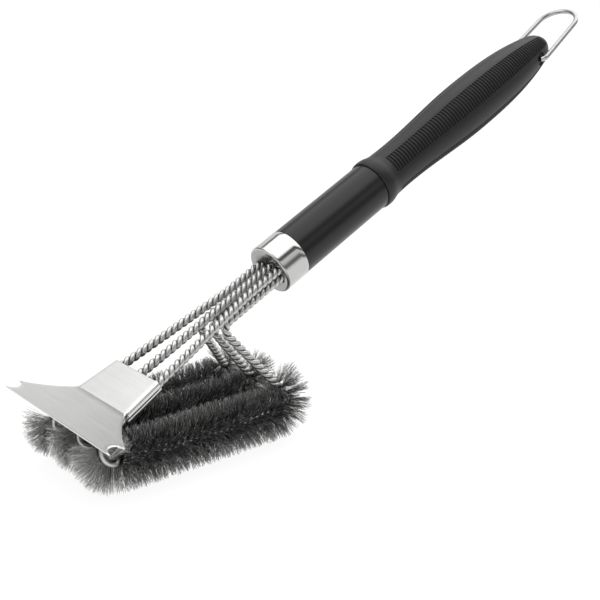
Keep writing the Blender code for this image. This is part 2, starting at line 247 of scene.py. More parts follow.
def feed_bump(tree, shader, height, distance, strength=1.0):
    """Link a height pattern to Normal. Distance is the pattern's real depth."""
    bump = node(tree, "ShaderNodeBump", None,
                {"Height": height, "Distance": distance, "Strength": strength})
    feed(tree, shader, "Normal", bump)


# %% [markdown]
# ### Bright metals
# Drawn wire carries faint lengthwise marks and small differences in shine. Where two wires are
# twisted together, the groove between them is darkened in the colour as painted shade. The scraper
# was ground on a belt, so its grain is a noise that is stretched hundreds of times along the blade.
# The end cap is polished: it keeps fine turning marks round the handle, and its front face, the
# pressed ring round its opening and the lower side of its rim carry painted shade.

# %% Metals
def drawn_wire(name, brightness, roughness, painted_groove_shade=False):
    """Bright drawn steel wire with mottled shine, and painted shade in the groove of a twisted
    pair.
    """
    made, tree, shader = material(name, Metallic=1.0)
    coords = object_coords(tree)
    mottle = noise(tree, coords, 260.0)
    fine = noise(tree, coords, 2600.0, 2.0)
    grey = brightness + varied(mottle, 0.14)
    if painted_groove_shade:
        # Painted shade: the colour darkens towards the groove between the two wires.
        grey = grey * grey_ramp(tree, carried(tree, "outward"),
                                [(0.0, 0.04), (0.38, 0.08), (0.58, 0.75), (0.70, 1.0)])
    feed_grey(tree, shader, grey)
    feed(tree, shader, "Roughness", roughness + varied(fine, 0.12))
    feed_bump(tree, shader, fine, 0.02 * MM, 0.5)
    return made


def brushed_steel():
    """Belt-ground sheet steel: the grain runs across the blade, and its cut ends are darker."""
    made, tree, shader = material("brushed_steel", Metallic=1.0)
    grain = noise(tree, object_coords(tree, (1.0, 0.012, 1.0)), 3800.0, 2.0)
    streaks = noise(tree, object_coords(tree, (1.0, 0.05, 1.0)), 420.0, 4.0)
    cloud = noise(tree, object_coords(tree), 60.0, 2.0)
    aside = object_coords(tree).axis(1).math("ABSOLUTE")
    facing = node(tree, "ShaderNodeNewGeometry", output="Normal").axis(1).math("ABSOLUTE")
    cut = facing.math("GREATER_THAN", 0.55) * aside.math("GREATER_THAN", 26 * MM)
    grey = 0.70 + varied(grain, 0.14) + varied(streaks, 0.09) + varied(cloud, 0.08)
    feed_grey(tree, shader, grey * (1 - cut * 0.75))
    feed(tree, shader, "Roughness", 0.23 + varied(grain, 0.10) + varied(cloud, 0.02))
    feed_bump(tree, shader, grain, 0.015 * MM, 0.6)
    return made


def polished_steel():
    """Polished cap with fine turning marks round the handle, and painted shade on its front face,
    its pressed ring and the lower side of its rim.
    """
    made, tree, shader = material("polished_steel", Metallic=1.0)
    marks = noise(tree, object_coords(tree, (1.0, 0.02, 0.02), True), 5200.0, 2.0)
    cloud = noise(tree, object_coords(tree), 90.0)
    place = object_coords(tree, along_handle=True)
    radius = vector_math(tree, "LENGTH", vector_math(tree, "MULTIPLY", place, (0, 1, 1)))
    # Painted shade: the front face, the pressed ring round the opening and the lower side of the
    # rim are darkened in the colour.
    face = eased(tree, radius, CAP_R - 0.5 * MM, CAP_R - 1.7 * MM)
    pressed_ring_shade = eased(tree, radius, 12.0 * MM, 8.5 * MM)
    rim = (eased(tree, place.axis(0), CAP_START + 1.5 * MM, CAP_START + 1.0 * MM)
           * eased(tree, radius, CAP_R - 1.4 * MM, CAP_R - 0.8 * MM)
           * eased(tree, place.axis(2), 6.0 * MM, -3.0 * MM))
    feed_grey(tree, shader, (0.54 + varied(cloud, 0.05)) * (1 - face * 0.36)
              * (1 - pressed_ring_shade * 0.4) * (1 - rim * 0.75))
    feed(tree, shader, "Roughness", 0.15 + varied(marks, 0.08) + varied(cloud, 0.05))
    feed_bump(tree, shader, marks, 0.006 * MM, 0.4)
    return made


ROPE_STEEL = drawn_wire("rope_steel", 0.57, 0.34, painted_groove_shade=True)
LOOP_STEEL = drawn_wire("loop_steel", 0.43, 0.16)
SHEET_STEEL = brushed_steel()
CAP_STEEL = polished_steel()
print("metals ready")

# %% [markdown]
# ### Dark parts
# The tube wears a satin black coat with a very slight orange peel. The grip is moulded in a matt
# black plastic with a fine spark-eroded grain that scatters the light. The bristles are dark steel
# filaments: each carries its reach from root to tip and a shade, which Geometry Nodes store as
# attributes. The shade is random, with painted light added near the nose. Roots and tips carry
# painted highlights that make them paler than the middle, a few filaments get painted glints, and
# no two filaments are quite alike.

# %% Plastics and bristles
def dull_black(name, grey, cloud_scale, roughness, grain, depth):
    """A black surface. Its roughness and its grain are (value, spread) and (scale, detail)."""
    made, tree, shader = material(name, Specular_IOR_Level=0.36)
    pattern = noise(tree, object_coords(tree), *grain)
    cloud = noise(tree, object_coords(tree), cloud_scale)
    feed_grey(tree, shader, grey[0] + varied(cloud, grey[1]))
    feed(tree, shader, "Roughness", roughness[0] + varied(pattern, roughness[1]))
    feed_bump(tree, shader, pattern, *depth)
    return made


def bristle_steel():
    """Dark steel filaments with painted highlights at their roots and tips, and painted glints."""
    made, tree, shader = material("bristle_steel", Metallic=1.0)
    reach = carried(tree, "reach")
    shade = carried(tree, "shade")
    speck = noise(tree, object_coords(tree), 900.0, 1.0)
    # Painted highlights: tips are painted paler, and the roots, where they lie over the bright
    # wire, get a painted glint.
    tip = grey_ramp(tree, reach, [(0.0, 0.0), (0.55, 0.12), (1.0, 1.0)])
    root = eased(tree, reach, 0.16, 0.06)
    # Painted glints: the cube of the shade lets a few filaments turn bright.
    painted_glint = shade * shade * shade
    grey = 0.09 + tip * 0.28 + root * 0.5 + painted_glint + varied(speck, 0.06)
    feed_grey(tree, shader, grey.math("MINIMUM", 0.9))
    feed(tree, shader, "Roughness", 0.34 - shade.math("MINIMUM", 1.0) * 0.14)
    return made


def plug_plastic():
    """Plain dark filler inside the tube."""
    made, tree, shader = material("plug_plastic")
    cloud = noise(tree, object_coords(tree), 300.0)
    feed_grey(tree, shader, 0.03 + varied(cloud, 0.02))
    feed(tree, shader, "Roughness", 0.7 + varied(cloud, 0.1))
    return made


TUBE_COAT = dull_black("satin_black", (0.008, 0.003), 40.0, (0.30, 0.08), (700.0, 2.0),
                       (0.02 * MM, 0.5))
GRIP_PLASTIC = dull_black("black_moulding", (0.010, 0.004), 70.0, (0.44, 0.2), (3000.0, 3.0),
                          (0.04 * MM, 0.6))
BRISTLE_STEEL = bristle_steel()
PLUG_PLASTIC = plug_plastic()
print("dark finishes ready")

# %% [markdown]
# ## Helpers that turn points into pieces
# A piece is a mesh in the room's own coordinates with its object left at the origin. Grids of rings
# make most of them: each ring is a list of points, and faces join one ring to the next. Every piece
# is then tied to the body that carries it, and the CAD solids that it stands for are hidden.

# %% Piece helpers
def joined(bm, one, two, closed=False):
    """Quads between two rows of vertices."""
    for k in range(len(one) if closed else len(one) - 1):
        n = (k + 1) % len(one)
        bm.faces.new((one[k], one[n], two[n], two[k]))


def loft(rings, closed_ring=True, closed_loft=False):
    """A bmesh of quads between rings that have the same number of points."""
    bm = bmesh.new()
    rows = [[bm.verts.new(point) for point in ring] for ring in rings]
    for one, two in zip(rows, rows[1:] + rows[:1] if closed_loft else rows[1:]):
        joined(bm, one, two, closed_ring)
    return bm


def smoothed(mesh, sharp):
    """Shade a mesh smooth, but keep edges that turn by more than this many degrees."""
    mesh.shade_smooth()
    mesh.set_sharp_from_angle(angle=math.radians(sharp))
    return mesh


def mesh_of(name, bm, sharp=35.0):
    """Merge doubles, turn the faces outwards and make a mesh."""
    bmesh.ops.remove_doubles(bm, verts=bm.verts, dist=0.002 * MM)
    bmesh.ops.recalc_face_normals(bm, faces=bm.faces)
    mesh = bpy.data.meshes.new(name)
    bm.to_mesh(mesh)
    bm.free()
    return smoothed(mesh, sharp)


def baked(source, name):
    """The mesh that an object's modifiers make, as a plain mesh. The source is removed."""
    depsgraph = bpy.context.evaluated_depsgraph_get()
    mesh = bpy.data.meshes.new_from_object(source.evaluated_get(depsgraph),
                                           depsgraph=depsgraph)
    mesh.name = name
    bpy.data.objects.remove(source, do_unlink=True)
    return mesh


def linked(name, data):
    """An object for this mesh or lamp in the scene."""
    item = bpy.data.objects.new(name, data)
    bpy.context.collection.objects.link(item)
    return item


def finished(name, mesh, nodes, finish=None, body="brush"):
    """Tie a piece to its body and its finish, and hide the CAD solids that it stands for."""
    if finish is not None:
        mesh.materials.clear()
        mesh.materials.append(finish)
    item = linked(name, mesh)
    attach(item, body)
    if nodes:
        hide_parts(*nodes)
    mesh.calc_loop_triangles()
    solid = bmesh.new()
    solid.from_mesh(mesh)
    volume = solid.calc_volume(signed=True) * 1e6
    gaps = sum(not edge.is_manifold for edge in solid.edges)
    solid.free()
    print(f"{name}: {len(mesh.loop_triangles)} triangles, {volume:.2f} cm3, {gaps} open edges")


# %% Geometry Nodes helpers
def geometry_tree(name, *numbers, whole=()):
    """A tree whose inputs are a line, named numbers and a material, and what returns them."""
    tree = bpy.data.node_groups.new(name, "GeometryNodeTree")
    kinds = {"Geometry": "Geometry", **dict.fromkeys(numbers, "Float"),
             **dict.fromkeys(whole, "Int"), "Material": "Material"}
    for label, kind in kinds.items():
        tree.interface.new_socket(label, in_out="INPUT", socket_type="NodeSocket" + kind)
    tree.interface.new_socket("Geometry", in_out="OUTPUT", socket_type="NodeSocketGeometry")
    entry = tree.nodes.new("NodeGroupInput")
    return tree, lambda label: Wire(tree, entry.outputs[label])


def here(tree):
    """The position of each point."""
    return node(tree, "GeometryNodeInputPosition")


def stepped_line(tree, given, step):
    """The line that the tree runs on, as a curve with a point at every step."""
    line = node(tree, "GeometryNodeMeshToCurve", None, {"Mesh": given("Geometry")})
    return node(tree, "GeometryNodeResampleCurve", {"mode": "LENGTH"},
                {"Curve": line, "Length": step})


def swept(tree, curve, sides, radius):
    """A round section, drawn along a curve, with closed ends."""
    section = node(tree, "GeometryNodeCurvePrimitiveCircle", {"mode": "RADIUS"},
                   {"Resolution": sides, "Radius": radius})
    return node(tree, "GeometryNodeCurveToMesh", None,
                {"Curve": curve, "Profile Curve": section, "Fill Caps": True})


def stored(tree, geometry, name, value, kind="FLOAT"):
    """Store a named attribute."""
    return node(tree, "GeometryNodeStoreNamedAttribute", {"data_type": kind},
                {"Geometry": geometry, "Name": name, "Value": value})


def recalled(tree, name, kind="FLOAT"):
    """Read a named attribute."""
    return node(tree, "GeometryNodeInputNamedAttribute", {"data_type": kind}, {"Name": name})


def close_tree(tree, given, geometry):
    """End a tree in Realize Instances, smooth shading and Set Material."""
    real = node(tree, "GeometryNodeRealizeInstances", None, {"Geometry": geometry})
    smooth = node(tree, "GeometryNodeSetShadeSmooth", None, {0: real})
    painted = node(tree, "GeometryNodeSetMaterial", None,
                   {"Geometry": smooth, "Material": given("Material")})
    exit_node = tree.nodes.new("NodeGroupOutput")
    tree.links.new(painted.socket, exit_node.inputs["Geometry"])
    return tree


def grown(name, tree, points, values):
    """Run a tree on a line of points and return the result as a plain mesh."""
    line = bpy.data.meshes.new(name + "_line")
    edges = [(k, k + 1) for k in range(len(points) - 1)]
    line.from_pydata([tuple(p) for p in points], edges, [])
    source = linked(name + "_line", line)
    modifier = source.modifiers.new("grow", "NODES")
    modifier.node_group = tree
    for item in tree.interface.items_tree:
        if item.in_out == "INPUT" and item.name in values:
            modifier[item.identifier] = values[item.name]
    return baked(source, name)


print("helpers ready")

# %% [markdown]
# ## Ropes
# Each of the three ropes is a pair of steel wires, twisted together. A rope leaves the handle,
# folds at the nose, runs back as the core of a row of bristles, and climbs to the handle again. The
# route is a line with rounded corners. Along it, one formula gives the angle of the pair of wires:
# it turns once every 8.2 mm, except round the nose, where the wires lie side by side.

# %% Route of a rope
ROPE_D = 4.8 * MM                       # the space that a rope needs
WIRE_D = 2.65 * MM                      # one wire, a little over half of that
LAY = 8.2 * MM                          # length of one full turn of the pair
ROPE_IN_HANDLE = 42 * MM
ROPE_SPREAD = 7.6 * MM
UPPER_ROD_W = 1.8 * MM
LOWER_ROD_W = -3.3 * MM
CORE_Z = 15.9 * MM
ROPES = {                               # side, rear corner's place, reach of the lower rod
    "left": (1, 63.0 * MM, 53.7 * MM),
    "middle": (0, 65.0 * MM, 51.8 * MM),
    "right": (-1, 67.0 * MM, 49.9 * MM),
}


def fillet(before, corner, after, radius, step=math.radians(9)):
    """Points of the arc of this radius that rounds the corner."""
    back = (before - corner).normalized()
    ahead = (after - corner).normalized()
    half = back.angle(ahead) / 2
    centre = corner + (back + ahead).normalized() * radius / math.sin(half)
    start = corner + back * radius / math.tan(half) - centre
    end = corner + ahead * radius / math.tan(half) - centre
    turning = start.angle(end)
    axis = start.cross(end).normalized()
    steps = max(2, math.ceil(turning / step))
    return [centre + Matrix.Rotation(turning * k / steps, 3, axis) @ start
            for k in range(steps + 1)]


def length_of(points):
    """Length of a line of points."""
    return sum((b - a).length for a, b in zip(points, points[1:]))


def rope_route(label):
    """The route's points, where along it the nose begins and ends, and where the rear bend ends."""
    side, rear_x, reach = ROPES[label]
    y = side * ROPE_SPREAD
    nose_t = ((CORE_Z - HANDLE_ROOT.z - UPPER_ROD_W * math.cos(HANDLE_TILT))
              / math.sin(HANDLE_TILT))
    top = on_handle(ROPE_IN_HANDLE, y, UPPER_ROD_W)
    splay = on_handle(-28 * MM, y, UPPER_ROD_W)
    nose = on_handle(nose_t, side * 24.5 * MM, UPPER_ROD_W)
    rear = Vector((rear_x, side * 26.3 * MM, CORE_Z))
    knee = on_handle(-reach, y, LOWER_ROD_W)
    low = on_handle(ROPE_IN_HANDLE, y, LOWER_ROD_W)
    start = [top, *(fillet(top, splay, nose, 40 * MM) if side else [])]
    nose_arc = fillet(splay, nose, rear, 7.5 * MM)
    rear_arc = fillet(nose, rear, knee, 7.0 * MM)
    route = start + nose_arc + rear_arc + fillet(rear, knee, low, 5.0 * MM) + [low]
    nose_start = length_of(start + nose_arc[:1])
    nose_end = nose_start + length_of(nose_arc)
    rear_end = nose_end + (rear_arc[0] - nose_arc[-1]).length + length_of(rear_arc)
    return route, {"Nose Start": nose_start, "Nose End": nose_end}, rear_end


for label in ROPES:
    print(label, "rope:", round(length_of(rope_route(label)[0]) / MM, 1), "mm")

# %% [markdown]
# ### The twist as a node tree
# The tree resamples the route every 0.4 mm. At each point it needs two directions across the route:
# one is as near to the room's Y axis as it can be, the other is square to it. The twist angle picks
# a direction between them, and the two wires are the route pushed out to either side by a wire's
# radius, then swept with a round section. How far each point ends up from the route is stored, to
# tell the groove from the outside. The same angle serves for the bristles later.

# %% Twist tree
def frame_of(tree, tangent):
    """Two directions across a route with this tangent."""
    dot = vector_math(tree, "DOT_PRODUCT", (0, 1, 0), tangent)
    along = vector_math(tree, "SCALE", tangent, dot)
    side = vector_math(tree, "NORMALIZE", vector_math(tree, "SUBTRACT", (0, 1, 0), along))
    return side, vector_math(tree, "CROSS_PRODUCT", side, tangent)


def twist_angle(given, length):
    """The angle of the pair of wires: it holds still between nose start and nose end."""
    before = (length - given("Nose Start")).math("MINIMUM", 0.0)
    after = (length - given("Nose End")).math("MAXIMUM", 0.0)
    return (before + after) * math.tau / given("Lay")


def turned_by(tree, angle, side, across):
    """The direction at this angle between the two."""
    one = vector_math(tree, "SCALE", side, angle.math("COSINE"))
    two = vector_math(tree, "SCALE", across, angle.math("SINE"))
    return vector_math(tree, "ADD", one, two)


def rope_tree():
    """Two wires twisted round the route."""
    tree, given = geometry_tree("twisted_pair", "Lay", "Wire", "Step", "Nose Start", "Nose End")
    route = stepped_line(tree, given, given("Step"))
    length = node(tree, "GeometryNodeSplineParameter", output="Length")
    side, across = frame_of(tree, node(tree, "GeometryNodeInputTangent"))
    arm = turned_by(tree, twist_angle(given, length), side, across)
    route = stored(tree, route, "core", here(tree), "FLOAT_VECTOR")
    both = tree.nodes.new("GeometryNodeJoinGeometry")
    for sign in (0.5, -0.5):
        offset = vector_math(tree, "SCALE", arm, given("Wire") * sign)
        strand = node(tree, "GeometryNodeSetPosition", None,
                      {"Geometry": route, "Offset": offset})
        tree.links.new(swept(tree, strand, 10, given("Wire") / 2).socket, both.inputs[0])
    core = recalled(tree, "core", "FLOAT_VECTOR")
    away = vector_math(tree, "LENGTH", vector_math(tree, "SUBTRACT", here(tree), core))
    # The distance from the route lets the rope's colour paint shade into the groove.
    marked = stored(tree, Wire(tree, both.outputs[0]), "outward", away / given("Wire"))
    return close_tree(tree, given, marked)


ROPE_PARTS = ("upper_rod_", "nose_bend_", "bristle_core_", "rear_leg_", "lower_rod_")
TWISTED_PAIR = rope_tree()
for label in ROPES:
    route, nose_marks, rear_end = rope_route(label)
    mesh = grown("rope_" + label, TWISTED_PAIR, route, {
        **nose_marks, "Lay": LAY, "Wire": WIRE_D, "Step": 0.4 * MM, "Material": ROPE_STEEL})
    finished("rope_" + label, mesh, [part + label for part in ROPE_PARTS])

# %% [markdown]
# ## Bristles
# On the real brush, straight filaments lie across one wire before the pair is twisted. The twist
# clamps them and fans them out into a helical sheet, with a turn every 8.2 mm and two sides. Points
# scattered along the core take the angle of the pair at their place plus a quarter turn, with a
# spread, and each gets one slightly bent filament of three sides. Eight neighbours form a tuft that
# shares most of its spread, its lean and its shade. A filament that would reach below the scrubbing
# face is cut to it. The rows go on a little way round the nose and the rear bend, where the
# filaments fan out by themselves, because they stay square to the route. At the nose the tufts come
# apart, and painted light makes the filaments paler there.

# %% Bristle tree
TUFT = 8.0                              # filaments in a tuft
FRONT_FADE = 0.004                      # how far past the nose the front's looseness fades


def random_number(tree, given, salt, low=0.0, high=1.0, tuft=None):
    """A fixed random number for each point, or one for each tuft of points."""
    return node(tree, "FunctionNodeRandomValue", {"data_type": "FLOAT"},
                {2: low, 3: high, "ID": tuft, "Seed": given("Seed") + salt}, 1)


def filament_shape(tree, given):
    """One bent filament of length 1 that stands on the origin and knows its reach."""
    line = node(tree, "GeometryNodeCurvePrimitiveLine", None,
                {"Start": (0, 0, 0), "End": (0, 0, 1)})
    line = node(tree, "GeometryNodeResampleCurve", {"mode": "COUNT"}, {"Curve": line, "Count": 3})
    up = here(tree).axis(2)
    bow = node(tree, "ShaderNodeCombineXYZ", None, {0: up * (1 - up) * given("Bow")})
    line = node(tree, "GeometryNodeSetPosition", None, {"Geometry": line, "Offset": bow})
    solid = swept(tree, line, 3, given("Width") / given("Reach") / 2)
    return stored(tree, solid, "reach", here(tree).axis(2))


def bristle_tree():
    """Filaments scattered along the route, square to it and turned by the twist."""
    tree, given = geometry_tree(
        "bristle_row", "Start", "End", "Lay", "Nose Start", "Nose End", "Reach", "Width", "Fan",
        "Lean", "Bow", whole=("Count", "Seed"))

    def chance(salt, *limits, tuft=None):
        return random_number(tree, given, salt, *limits, tuft=tuft)

    fine = stepped_line(tree, given, 0.5 * MM)
    index = node(tree, "GeometryNodeInputIndex")
    tuft = (index / TUFT).math("FLOOR")
    part = (index + chance(1)) / given("Count")
    length = given("Start") + (given("End") - given("Start")) * part
    sample = node(tree, "GeometryNodeSampleCurve", {"mode": "LENGTH", "use_all_curves": True},
                  {"Curves": fine, "Length": length}).socket.node
    root = Wire(tree, sample.outputs["Position"])
    tangent = Wire(tree, sample.outputs["Tangent"])
    side, across = frame_of(tree, tangent)
    front = eased(tree, length, given("Start"), given("Nose End") + FRONT_FADE, 1.0, 0.0)

    spread = ((chance(2, tuft=tuft) + chance(3, tuft=tuft) + chance(4, tuft=tuft) - 1.5)
              * given("Fan") * (1 + front * 0.35) + chance(9, -0.04, 0.04) * (1 + front * 6))
    half_turn = index.math("MODULO", 2.0) * math.pi
    angle = twist_angle(given, length) + math.pi / 2 + half_turn + spread
    out = turned_by(tree, angle, side, across)
    lean = (chance(5, -1.0, 1.0, tuft=tuft) * given("Lean")
            + chance(10, -0.04, 0.04) * (1 + front * 4))
    leaning = vector_math(tree, "ADD", out, vector_math(tree, "SCALE", tangent, lean))
    aim = vector_math(tree, "NORMALIZE", leaning)

    drop = (aim.axis(2) * -1.0).math("MAXIMUM", 0.02)
    room = root.axis(2) / drop
    size = (given("Reach") * chance(6, 0.80, 1.0)).math("MINIMUM", room)
    # Random tone per filament and per tuft, plus painted light near the nose.
    shade = chance(7, 0.0, 0.55) + chance(11, 0.0, 0.45, tuft=tuft) + front * 0.42
    dots = node(tree, "GeometryNodePoints", None, {"Count": given("Count"), "Position": root})
    dots = stored(tree, dots, "shade", shade)
    upright_turn = node(tree, "FunctionNodeAlignRotationToVector", {"axis": "Z"}, {"Vector": aim})
    spin = node(tree, "FunctionNodeAxisAngleToRotation", None,
                {"Axis": (0, 0, 1), "Angle": chance(8, 0.0, math.tau)})
    rotation = node(tree, "FunctionNodeRotateRotation", {"rotation_space": "LOCAL"},
                    {"Rotation": upright_turn, "Rotate By": spin})
    placed = node(tree, "GeometryNodeInstanceOnPoints", None,
                  {"Points": dots, "Instance": filament_shape(tree, given),
                   "Rotation": rotation, "Scale": size})
    return close_tree(tree, given, placed)


BRISTLE_ROW = bristle_tree()
for number, label in enumerate(ROPES):
    route, nose_marks, rear_end = rope_route(label)
    nose = nose_marks["Nose End"] - nose_marks["Nose Start"]
    mesh = grown("bristles_" + label, BRISTLE_ROW, route, {
        **nose_marks, "Count": 13000, "Start": nose_marks["Nose End"] - 0.70 * nose,
        "End": rear_end + 4.5 * MM, "Lay": LAY, "Reach": 16.4 * MM, "Width": 0.18 * MM,
        "Fan": math.radians(27), "Lean": 0.15, "Bow": 0.14, "Seed": 10 * number + 1,
        "Material": BRISTLE_STEEL})
    finished("bristles_" + label, mesh, ["bristle_row_" + label])

# %% [markdown]
# ## Scraper
# The scraper is one sheet of 0.8 mm steel. Its neck lies on the three upper rods and folds down at
# both sides; its blade bends up and flares to a straight ground edge, with a rounded mouth cut into
# each end. It is drawn as rows of points from the neck's rear edge to the blade's edge. A row knows
# its place along the bent profile and its half width, and Solidify gives the sheet its thickness.

# %% Scraper profile and outline
SHEET = 0.8 * MM
NECK_REAR = 101 * MM
NECK_FRONT = 126 * MM
NECK_HALF_REAR = 19.5 * MM
NECK_HALF_FRONT = 22.5 * MM
BLADE_LIFT = math.radians(21.5)
BLADE_LENGTH = 26.8 * MM
BLADE_HALF = 50 * MM
BLADE_TIP_D = 18.2 * MM
NOTCH_DEPTH = 5.6 * MM
BEND_R = 7.0 * MM
FOLD_R = 1.5 * MM
OFF_ROD = ROPE_D / 2 + GAP + SHEET / 2  # from a rod's axis to the middle of the sheet
TOP_W = UPPER_ROD_W + OFF_ROD
COLUMNS = 25                            # points across the blade


def profile_place(d):
    """(t, w) at distance d past the bend's corner; the corner itself is rounded."""
    reach = BEND_R * math.tan(BLADE_LIFT / 2)
    if abs(d) < reach:
        share = (d + reach) / (2 * reach) * BLADE_LIFT
        return (-NECK_FRONT + reach - BEND_R * math.sin(share),
                TOP_W + BEND_R * (1 - math.cos(share)))
    if d < 0:
        return -NECK_FRONT - d, TOP_W
    return -NECK_FRONT - d * math.cos(BLADE_LIFT), TOP_W + d * math.sin(BLADE_LIFT)


def blade_outline():
    """(d, half width) pairs from the bend to the edge, with the mouth's round."""
    start = Vector((0.0, NECK_HALF_FRONT))
    tip = Vector((BLADE_TIP_D, BLADE_HALF))
    inward = Vector((tip.y - start.y, start.x - tip.x)).normalized()
    control = (start + tip) / 2 + inward * 3.2 * MM
    half_mouth = (BLADE_LENGTH - BLADE_TIP_D) / 2 - 0.5 * MM
    middle = (BLADE_LENGTH + BLADE_TIP_D) / 2
    flare, mouth = [], []
    for k in range(17):
        f = k / 16
        angle = math.pi * f
        flare.append(start * (1 - f) ** 2 + control * 2 * f * (1 - f) + tip * f ** 2)
        mouth.append(Vector((middle - half_mouth * math.cos(angle),
                             BLADE_HALF - NOTCH_DEPTH * math.sin(angle))))
    return flare + mouth + [Vector((BLADE_LENGTH, BLADE_HALF))]


print("blade outline:", len(blade_outline()), "stations")

# %% Scraper mesh
def neck_half(t):
    """Half width of the neck at t."""
    share = (-t - NECK_REAR) / (NECK_FRONT - NECK_REAR)
    return NECK_HALF_REAR + (NECK_HALF_FRONT - NECK_HALF_REAR) * share


def shell_section(half, top, seam, radius, flat_steps=12, arc_steps=5):
    """Points across a folded shell, from seam to seam. Top and seam are heights."""
    sign = 1 if top > seam else -1
    side_points = [(half, seam)]
    for k in range(arc_steps + 1):
        angle = math.pi / 2 * k / arc_steps
        side_points.append((half - radius * (1 - math.cos(angle)),
                            top - sign * radius * (1 - math.sin(angle))))
    inner = half - radius
    flat = [(inner * (1 - 2 * k / flat_steps), top) for k in range(1, flat_steps)]
    return side_points + flat + [(-y, w) for y, w in reversed(side_points)]


def sheet_mesh(name, bm, bevel):
    """Thicken a sheet, break its sharp edges and return the plain mesh."""
    item = linked(name + "_sheet", mesh_of(name + "_sheet", bm))
    solid = item.modifiers.new("thickness", "SOLIDIFY")
    solid.thickness = SHEET
    solid.offset = 0.0
    solid.use_even_offset = True
    edge = item.modifiers.new("broken edges", "BEVEL")
    edge.width = bevel
    edge.segments = 2
    edge.limit_method = "ANGLE"
    edge.angle_limit = math.radians(50)
    return smoothed(baked(item, name), 40)


def scraper_mesh():
    """The folded neck and the flared blade as one sheet."""
    bm = bmesh.new()
    folded = []
    for d in (-25.0, -24.6, -22.0, -18.0, -14.0, -10.0, -6.0, -3.0, -1.4):
        t, w = profile_place(d * MM)
        section = shell_section(neck_half(t), w, 2.1 * MM, FOLD_R, COLUMNS - 1)
        folded.append([bm.verts.new(on_handle(t, y, h)) for y, h in section])
    for one, two in zip(folded, folded[1:]):
        joined(bm, one, two)
    side_count = (len(folded[0]) - COLUMNS) // 2
    previous = folded[-1][side_count:-side_count]
    stations = [Vector((d * MM, NECK_HALF_FRONT)) for d in (-0.9, -0.5)] + blade_outline()
    for d, half in stations:
        t, w = profile_place(d)
        row = [bm.verts.new(on_handle(t, half * (1 - 2 * k / (COLUMNS - 1)), w))
               for k in range(COLUMNS)]
        joined(bm, previous, row)
        previous = row
    return sheet_mesh("scraper_plate", bm, 0.16 * MM)


def clamp_mesh():
    """The lower shell of the neck, with round sides."""
    rings = []
    for k in range(9):
        t = -NECK_REAR - (NECK_FRONT - NECK_REAR) * k / 8
        section = shell_section(neck_half(t), UPPER_ROD_W - OFF_ROD, 1.5 * MM, 2.3 * MM)
        rings.append([on_handle(t, y, w) for y, w in section])
    return sheet_mesh("clamp_plate", loft(rings, closed_ring=False), 0.15 * MM)


finished("scraper_blade", scraper_mesh(), ["scraper"], SHEET_STEEL)
finished("neck_clamp", clamp_mesh(), ["scraper_clamp"], SHEET_STEEL)

# %% [markdown]
# ## End cap and tube
# The steel cap is spun from sheet: a cylinder, a rounded rim, and a flat face that was pressed in
# round the six rods, which leaves wrinkles. Each ring of points goes once round the handle. Rings
# on the cylinder are circles, rings near the opening follow the rods' common outline, and the rings
# in between blend the two. The tube behind it is a plain turned ring with broken edges.

# %% End cap
def ring(t, radius, angles=144):
    """Points round the handle. Radius and t may be numbers or functions of the angle."""
    if isinstance(angles, int):
        angles = [math.tau * k / angles for k in range(angles)]
    points = []
    for a in angles:
        r = radius(a) if callable(radius) else radius
        along = t(a) if callable(t) else t
        points.append(on_handle(along, r * math.cos(a), r * math.sin(a)))
    return points


OPENING_W = (UPPER_ROD_W + LOWER_ROD_W) / 2


def opening_radius(a, gap):
    """Distance from the handle's axis to the outline that wraps the six rods at this angle."""
    best = 0.0
    ray = Vector((math.cos(a), math.sin(a)))
    for y in (-ROPE_SPREAD, -ROPE_SPREAD / 2, 0.0, ROPE_SPREAD / 2, ROPE_SPREAD):
        for w in (UPPER_ROD_W, OPENING_W, LOWER_ROD_W):
            centre = Vector((y, w))
            middle = abs(y) in (0.0, ROPE_SPREAD) and w != OPENING_W
            size = ROPE_D / 2 + gap - (0.0 if middle else 0.7 * MM)
            along = centre.dot(ray)
            off = centre.length_squared - along ** 2
            if off < size ** 2:
                best = max(best, along + math.sqrt(size ** 2 - off))
    return best


def wrinkle(a):
    """Uneven pressing marks round the opening, between -1 and 1."""
    return (0.5 * math.sin(9 * a + 0.7) + 0.35 * math.sin(17 * a + 2.1)
            + 0.25 * math.sin(31 * a + 0.3))


def cap_mesh():
    """One closed skin: outside, rim, face, opening, and back along the inside."""
    length, edge, wall = 17.2 * MM, 1.1 * MM, 0.9 * MM
    rings = [ring(length, CAP_R - 0.2 * MM), ring(length - 0.2 * MM, CAP_R),
             ring(length - 3 * MM, CAP_R), ring(length / 2, CAP_R), ring(edge + MM, CAP_R)]
    for k in range(9):
        angle = math.pi / 2 * k / 8
        rings.append(ring(edge * (1 - math.sin(angle)), CAP_R - edge * (1 - math.cos(angle))))
    face_r = CAP_R - edge
    for k in range(1, 9):
        share = k / 8
        rings.append(ring(
            lambda a, s=share: (0.5 + 0.45 * wrinkle(a)) * s ** 3 * MM,
            lambda a, s=share: face_r + (opening_radius(a, 0.35 * MM) + 0.35 * MM * wrinkle(a)
                                         - face_r) * s))
    rings.append(ring(lambda a: (1.3 + 0.3 * wrinkle(a)) * MM,
                      lambda a: opening_radius(a, 0.1 * MM) + 0.2 * MM * wrinkle(a)))
    for t, gap in ((2.6, 0.2), (2.6, 0.8), (1.7, 1.2)):
        rings.append(ring(t * MM, lambda a, g=gap: opening_radius(a, g * MM)))
    rings += [ring(wall + 0.3 * MM, face_r - 0.4 * MM), ring(edge, CAP_R - wall),
              ring(length, CAP_R - wall)]
    mesh = mesh_of("steel_cap", loft(rings, closed_loft=True), 50.0)
    mesh.transform(Matrix.Translation(on_handle(CAP_START, 0, 0) - on_handle(0, 0, 0)))
    return mesh


finished("steel_cap", cap_mesh(), ["ferrule"], CAP_STEEL)

